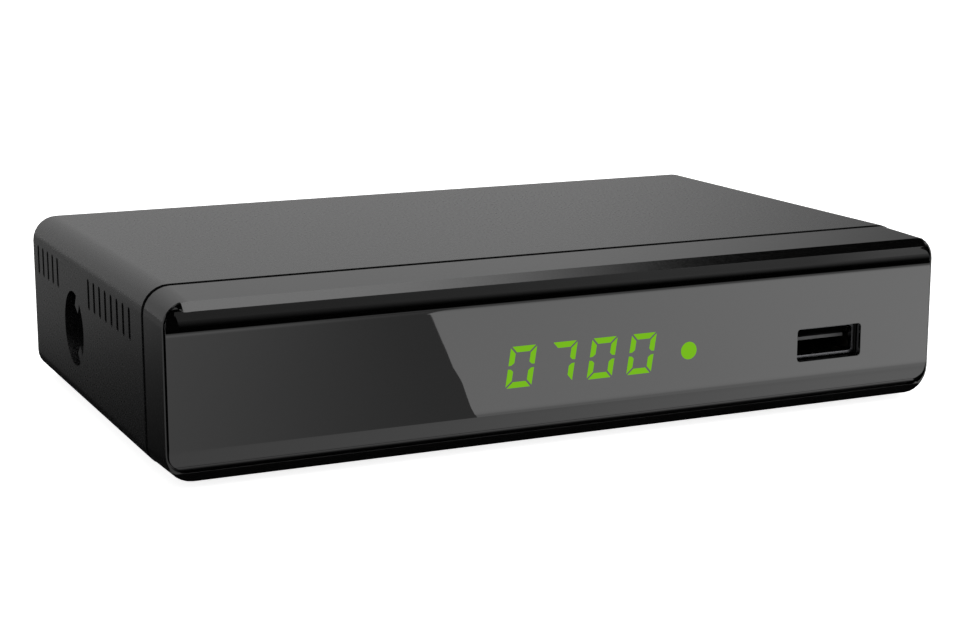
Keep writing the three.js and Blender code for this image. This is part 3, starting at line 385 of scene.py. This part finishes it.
def add_status_dot():
    angles = [2 * math.pi * i / DOT_STEPS for i in range(DOT_STEPS)]
    outline = [(DOT_X + DOT_RADIUS * math.cos(a), DOT_Z + DOT_RADIUS * math.sin(a)) for a in angles]
    bm = bmesh.new()
    add_prism(bm, outline, WINDOW_FRONT - LIT_PROUD, WINDOW_FRONT + LIT_DEPTH)
    mesh_piece("status_dot", bm, LIT)


add_display_figures()
add_status_dot()

# The mouth of the USB socket: a steel lip, darker than the shell's nickel as painted shade, the dark collar
# round it, and a pale strip on the tongue's edge that is a painted highlight.
USB_LOW, USB_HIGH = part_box("usb_shell")
USB_CORNER = 0.6 * MM
CORNER_STEPS = 6
USB_LIP_DEPTH = 1.8 * MM
USB_LIP_FRONT = WINDOW_FRONT + USB_LIP_DEPTH
USB_LIP_SIDE = 0.42 * MM
USB_LIP_BOTTOM = 0.5 * MM
USB_LIP_TOP = 0.3 * MM
USB_COLLAR_SIDE = 0.4 * MM
USB_COLLAR_END = 0.15 * MM
USB_COLLAR_SETBACK = 0.1 * MM
USB_COLLAR_BACK = 0.6 * MM
USB_TONGUE_WIDTH = 11.0 * MM
USB_TONGUE_LOW = 0.06 * MM
USB_TONGUE_SETBACK = 1.0 * MM
# Size and place of the painted highlight on the tongue's lower edge.
USB_HIGHLIGHT_HEIGHT = 0.6 * MM
USB_HIGHLIGHT_INSET = 0.7 * MM
USB_HIGHLIGHT_PROUD = 0.05 * MM
USB_HIGHLIGHT_DEPTH = 0.3 * MM


def rounded(left, right, low, high, radius):
    """A rectangle's outline with rounded corners, anticlockwise in (x, z)."""
    points = []
    middles = ((right, high, 0), (left, high, 1), (left, low, 2), (right, low, 3))
    for x, z, quarter in middles:
        cx = x - radius if x == right else x + radius
        cz = z - radius if z == high else z + radius
        for step in range(CORNER_STEPS + 1):
            angle = math.pi / 2 * (quarter + step / CORNER_STEPS)
            points.append((cx + radius * math.cos(angle), cz + radius * math.sin(angle)))
    return points


def shell_outline(side=0.0, bottom=0.0, top=0.0):
    """The socket shell's outline, drawn in by these widths, or let out where they are negative."""
    left, right = USB_LOW.x + side, USB_HIGH.x - side
    return rounded(left, right, USB_LOW.z + bottom, USB_HIGH.z - top, USB_CORNER)


# The lip's dark steel is painted shade of the socket's mouth, on a real lip shape.
def add_usb_lip():
    bm = bmesh.new()
    mouth = shell_outline(USB_LIP_SIDE, USB_LIP_BOTTOM, USB_LIP_TOP)
    add_ring(bm, shell_outline(), mouth, USB_LIP_FRONT, USB_LOW.y)
    mesh_piece("usb_lip", bm, looks["usb_lip"].material)


def add_usb_collar():
    bm = bmesh.new()
    rim = shell_outline(-USB_COLLAR_SIDE, -USB_COLLAR_END, -USB_COLLAR_END)
    add_ring(bm, rim, shell_outline(), USB_LIP_FRONT + USB_COLLAR_SETBACK, USB_LIP_FRONT + USB_COLLAR_BACK)
    mesh_piece("usb_collar", bm, looks["usb_plastic"].material)


# A thin pale strip on the tongue's lower edge: a painted highlight, not a part of its own.
def add_usb_tongue_highlight():
    middle = (USB_LOW + USB_HIGH) / 2
    left = middle.x - USB_TONGUE_WIDTH / 2 + USB_HIGHLIGHT_INSET
    right = middle.x + USB_TONGUE_WIDTH / 2
    low = middle.z + USB_TONGUE_LOW
    high = low + USB_HIGHLIGHT_HEIGHT
    front = USB_LOW.y + USB_TONGUE_SETBACK
    bm = bmesh.new()
    outline = [(left, low), (right, low), (right, high), (left, high)]
    add_prism(bm, outline, front - USB_HIGHLIGHT_PROUD, front + USB_HIGHLIGHT_DEPTH)
    mesh_piece("usb_tongue_painted_highlight", bm, looks["usb_tongue_highlight"].material)


add_usb_lip()
add_usb_collar()
add_usb_tongue_highlight()


# Stage and light
FLOOR_COLOR = (0.86, 0.86, 0.86)
FLOOR_LIFT = 0.86
FLOOR_HALF = 6.0
WORLD_COLOR = (0.8, 0.8, 0.8)
WORLD_FILL = 0.55
WORLD_SEEN = 1.0
LAMP_TARGET = Vector((0, 0, 0.015))


def emptied_tree(owner):
    """The node tree of a new material or world, with nothing in it."""
    owner.use_nodes = True
    owner.node_tree.nodes.clear()
    return owner.node_tree


def combine(tree, operation, first, second):
    """Two values joined by one operation of a Math node."""
    joined = tree.nodes.new("ShaderNodeMath")
    joined.operation = operation
    tree.links.new(first, joined.inputs[0])
    tree.links.new(second, joined.inputs[1])
    return joined.outputs[0]


def sees_background(tree):
    """A factor of 1 for the rays that show the plain background: the camera's, gloss's and glass's."""
    rays = tree.nodes.new("ShaderNodeLightPath").outputs
    seen = combine(tree, "MAXIMUM", rays["Is Camera Ray"], rays["Is Glossy Ray"])
    return combine(tree, "MAXIMUM", seen, rays["Is Transmission Ray"])


def pick(tree, factor, off, on):
    """One shader where the factor is 0 and another where it is 1."""
    mix = tree.nodes.new("ShaderNodeMixShader")
    tree.links.new(factor, mix.inputs[0])
    tree.links.new(off, mix.inputs[1])
    tree.links.new(on, mix.inputs[2])
    return mix.outputs[0]


def level(left, right, front, back, z=0.0):
    """The corners of a level rectangle."""
    return [(left, front, z), (right, front, z), (right, back, z), (left, back, z)]


def upright(left, right, low, high, y):
    """The corners of an upright rectangle that faces front and back."""
    return [(left, y, low), (right, y, low), (right, y, high), (left, y, high)]


def stage_plane(name, corners, material):
    mesh = bpy.data.meshes.new(name)
    mesh.from_pydata([Vector(c) for c in corners], [], [tuple(range(len(corners)))])
    mesh.materials.append(material)
    plane = bpy.data.objects.new(name, mesh)
    scene.collection.objects.link(plane)
    return plane


def add_floor():
    material = bpy.data.materials.new("pale_floor")
    tree = emptied_tree(material)
    out = tree.nodes.new("ShaderNodeOutputMaterial")
    diffuse = tree.nodes.new("ShaderNodeBsdfDiffuse")
    diffuse.inputs["Color"].default_value = (*FLOOR_COLOR, 1.0)
    lift = tree.nodes.new("ShaderNodeEmission")
    lift.inputs["Strength"].default_value = FLOOR_LIFT
    both = tree.nodes.new("ShaderNodeAddShader")
    tree.links.new(diffuse.outputs[0], both.inputs[0])
    tree.links.new(lift.outputs[0], both.inputs[1])
    shown = pick(tree, sees_background(tree), diffuse.outputs[0], both.outputs[0])
    tree.links.new(shown, out.inputs["Surface"])
    stage_plane("floor", level(-FLOOR_HALF, FLOOR_HALF, -FLOOR_HALF, FLOOR_HALF), material)


def background(tree, strength):
    made = tree.nodes.new("ShaderNodeBackground")
    made.inputs["Color"].default_value = (*WORLD_COLOR, 1.0)
    made.inputs["Strength"].default_value = strength
    return made.outputs[0]


def add_world():
    """A pale grey world, weaker as light on the part than as the background that is seen."""
    world = bpy.data.worlds.new("studio")
    tree = emptied_tree(world)
    out = tree.nodes.new("ShaderNodeOutputWorld")
    shown = pick(tree, sees_background(tree), background(tree, WORLD_FILL), background(tree, WORLD_SEEN))
    tree.links.new(shown, out.inputs["Surface"])
    scene.world = world


def soft_light(name, place, size, watts):
    """A square lamp that looks at the part and that gloss doesn't see."""
    data = bpy.data.lights.new(name, "AREA")
    data.shape = "SQUARE"
    data.size = size
    data.energy = watts
    lamp = bpy.data.objects.new(name, data)
    lamp.location = place
    lamp.rotation_mode = "QUATERNION"
    lamp.rotation_quaternion = (LAMP_TARGET - Vector(place)).to_track_quat("-Z", "Y")
    lamp.visible_glossy = False
    scene.collection.objects.link(lamp)


def fade_ramp(tree, direction, start, end, high, low):
    """A value that goes smoothly from high at start to low at end, in metres along a direction."""
    place = tree.nodes.new("ShaderNodeNewGeometry")
    along = tree.nodes.new("ShaderNodeVectorMath")
    along.operation = "DOT_PRODUCT"
    along.inputs[1].default_value = Vector(direction).normalized()
    tree.links.new(place.outputs["Position"], along.inputs[0])
    ramp = tree.nodes.new("ShaderNodeMapRange")
    ramp.interpolation_type = "SMOOTHSTEP"
    ramp.inputs["From Min"].default_value = start
    ramp.inputs["From Max"].default_value = end
    ramp.inputs["To Min"].default_value = high
    ramp.inputs["To Max"].default_value = low
    tree.links.new(along.outputs["Value"], ramp.inputs["Value"])
    return ramp.outputs["Result"]


def card(name, corners, strength, *fades):
    """A studio card that only gloss sees. Each fade is (direction, start, end, share): the card's strength is
    full before start, in metres along the direction, and only this share of it after end."""
    material = bpy.data.materials.new(name)
    tree = emptied_tree(material)
    out = tree.nodes.new("ShaderNodeOutputMaterial")
    glow = tree.nodes.new("ShaderNodeEmission")
    glow.inputs["Strength"].default_value = strength
    faded, high = None, strength
    for direction, start, end, share in fades:
        ramp = fade_ramp(tree, direction, start, end, high, high * share)
        faded = ramp if faded is None else combine(tree, "MULTIPLY", faded, ramp)
        high = 1.0
    if faded is not None:
        tree.links.new(faded, glow.inputs["Strength"])
    tree.links.new(glow.outputs[0], out.inputs["Surface"])
    plane = stage_plane(name, corners, material)
    plane.visible_camera = False
    plane.visible_diffuse = False
    plane.visible_shadow = False
    plane.visible_transmission = False
    plane.visible_volume_scatter = False


add_floor()
add_world()
soft_light("overhead", (0.15, 0.25, 1.4), size=1.4, watts=9.0)
soft_light("front_right", (0.9, -1.1, 0.8), size=1.0, watts=4.0)

# What the black surfaces mirror. All places are in metres, and a flag is a card that is nearly black.
FLAG = 0.01
CARD_Z = 0.001
LEFT, RIGHT = (-1, 0, 0), (1, 0, 0)
FORWARD, BACK = (0, -1, 0), (0, 1, 0)
UP, DOWN = (0, 0, 1), (0, 0, -1)
RIGHT_AND_BACK, LEFT_AND_FORWARD = (0.93, 0.36, 0), (-0.93, -0.36, 0)
MOSTLY_FORWARD = (0.2, -0.98, 0)
FRONT_LINE = -0.0505
FOOT_GLOW = 1.47
FOOT_FADE = (LEFT, -0.09, 0.08, 0.56)


def add_surroundings():
    """Behind, over and beside the part. The floor's cards beside it start just off its left wall."""
    back, over, wall = 1.1, 0.5, -0.078
    card("backdrop_card", upright(-0.9, 2.6, 0.0, 1.1, back), 0.48,
         (RIGHT, 0.55, 1.10, 0.3), (LEFT, 0.3, 0.5, 0.75), (UP, 0.42, 0.75, 1.6))
    card("roof_card", level(-0.9, 0.55, -0.35, 0.25, over), 3.5, (RIGHT, 0.14, 0.32, 0.0))
    card("roof_flag", level(0.55, 1.6, -0.35, 0.3, over), FLAG)
    card("side_card", level(-1.2, wall, FRONT_LINE, 1.0, CARD_Z), 0.185,
         (MOSTLY_FORWARD, -0.19, 0.06, 0.05), (FORWARD, -0.10, -0.02, 0.72))
    card("under_flag", level(wall, 0.3, FRONT_LINE, 0.3, CARD_Z), FLAG)


def add_front_reflection():
    """The floor in front as the window mirrors it: a strip at its foot, a dim part at the left, a slanting
    edge, and a bright part at the right. The edge's points were set one by one until its image ran straight."""
    near, far, left, right = -0.0565, -2.0, -1.5, 3.5
    horizon, top = 0.45, 3.0
    slant = ((-0.0156, near), (-0.0105, -0.0720), (-0.00665, -0.0834), (-0.00315, -0.0956),
             (-0.0009, -0.1022), (0.0014, -0.1087), (0.0062, -0.1227), (0.01155, -0.1378),
             (0.0174, -0.1540), (0.0221, -0.1682), (0.848, far))
    dim = ((-0.6, near), *slant, (left, far))
    bright = (*slant, (right, far), (right, near))
    card("near_card", level(-0.3, 0.3, FRONT_LINE, near, CARD_Z), FOOT_GLOW, FOOT_FADE)
    card("left_card", [(x, y, CARD_Z) for x, y in dim], 0.95,
         (RIGHT_AND_BACK, -0.112, -0.035, 0.43), (FORWARD, 0.16, 0.26, 1.3), (FORWARD, 0.3, 0.9, 0.6))
    card("right_card", [(x, y, CARD_Z) for x, y in bright], 2.5,
         (LEFT_AND_FORWARD, -0.08, 0.03, 0.88), (FORWARD, 0.14, 0.5, 0.32), (BACK, -0.0670, -0.0590, 0.66))
    card("horizon_card", upright(left, right, 0.0, horizon, far), 0.8, (UP, 0.0, 0.12, 0.0))
    card("front_sky_card", upright(left, right, horizon, top, far), 0.58,
         (DOWN, -1.5, -0.5, 0.0), (LEFT, -1.5, -0.6, 0.4))


def add_close_cards():
    """Close to the front: at the window's foot, under the visor, and the flags that keep the lip and the rim
    round the window dark."""
    half, foot_front, foot_back, face = 0.0750, -0.0484, -0.0476, -0.0486
    notch_left, notch_right = -0.0736, -0.0722
    card("foot_card", level(-half, half, foot_front, foot_back, 0.00322), FOOT_GLOW,
         FOOT_FADE, (BACK, foot_front, -0.0477, 0.0))
    card("visor_card", level(notch_right, 0.0765, -0.05095, foot_back, 0.02985), 0.8,
         (LEFT, -0.069, -0.047, 0.6), (LEFT, -0.045, 0.07, 0.6))
    card("lip_flag", upright(-half, half, 0.0003, 0.0029, face), FLAG)
    card("notch_flag", level(notch_left, notch_right, -0.0507, -0.0450, 0.0299), FLAG)
    card("arch_flag", upright(-0.0740, -0.0720, 0.0265, 0.0300, face), FLAG)


add_surroundings()
add_front_reflection()
add_close_cards()
